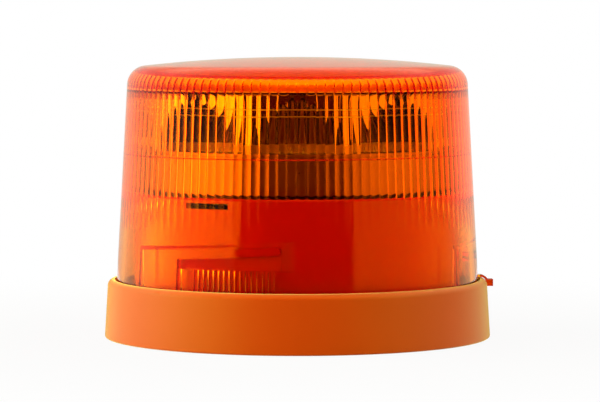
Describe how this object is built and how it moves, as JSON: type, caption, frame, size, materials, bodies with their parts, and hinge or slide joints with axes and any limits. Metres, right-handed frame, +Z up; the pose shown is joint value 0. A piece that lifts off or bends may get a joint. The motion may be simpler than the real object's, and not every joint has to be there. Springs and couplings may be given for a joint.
{
  "type": "led strobe beacon",
  "caption": "Round amber warning beacon with a fluted bayonet dome, inner tower, reflector light module and base ring for bolt mounting.",
  "frame": {"origin": "centre of the base's underside, on the mounting surface", "axes": "+Z up along the dome's axis, the pictured front at -Y, the rim tab at +X"},
  "size_m": [0.1687, 0.1672, 0.121],
  "materials": {
    "base_plastic": "orange moulded plastic, fine satin texture",
    "amber_lens": "clear amber moulded plastic, polished outside",
    "black_rubber": "soft black moulded rubber",
    "seal_silicone": "natural silicone",
    "insert_brass": "machined brass",
    "vent_plastic": "white membrane plug",
    "screw_steel": "zinc plated",
    "board_green": "green solder mask",
    "board_black": "black solder mask on a metal core",
    "ferrite": "dark ferrite",
    "capacitor_can": "drawn can",
    "chip_black": "moulded epoxy",
    "terminal_plastic": "green moulded plastic",
    "connector_plastic": "natural nylon",
    "lead_insulation": "silicone insulation",
    "heat_sink_aluminium": "polished die-cast aluminium",
    "led_ceramic": "white ceramic package",
    "led_clear": "clear silicone over phosphor",
    "reflector_mirror": "vacuum metallised plastic, mirror bright",
    "cap_plastic": "white moulded plastic"
  },
  "bodies": {
    "base": {"base_housing": "base_plastic", "base_gasket": "black_rubber", "mounting_inserts": "insert_brass", "cable_grommet": "black_rubber", "vent_plug": "vent_plastic", "dome_seal": "seal_silicone", "tower_housing": "base_plastic", "tower_screws": "screw_steel", "driver_board": "board_green", "board_screws": "screw_steel", "inductor": "ferrite", "capacitors": "capacitor_can", "power_transistors": "chip_black", "controller_chip": "chip_black", "terminal_block": "terminal_plastic", "led_connector": "connector_plastic", "led_leads": "lead_insulation", "heat_sink": "heat_sink_aluminium", "module_screws": "screw_steel", "led_board": "board_black", "led_packages": "led_ceramic", "led_domes": "led_clear", "reflector_ring": "reflector_mirror", "reflector_screws": "screw_steel", "reflector_cap": "cap_plastic"},
    "dome": {"dome_lens": "amber_lens"}
  },
  "joints": [
    {"name": "dome_twist", "type": "hinge", "parent": "base", "child": "dome", "pos_m": [0, 0, 0], "axis": [0, 0, 1], "range_deg": [0, 36.3]}
  ]
}
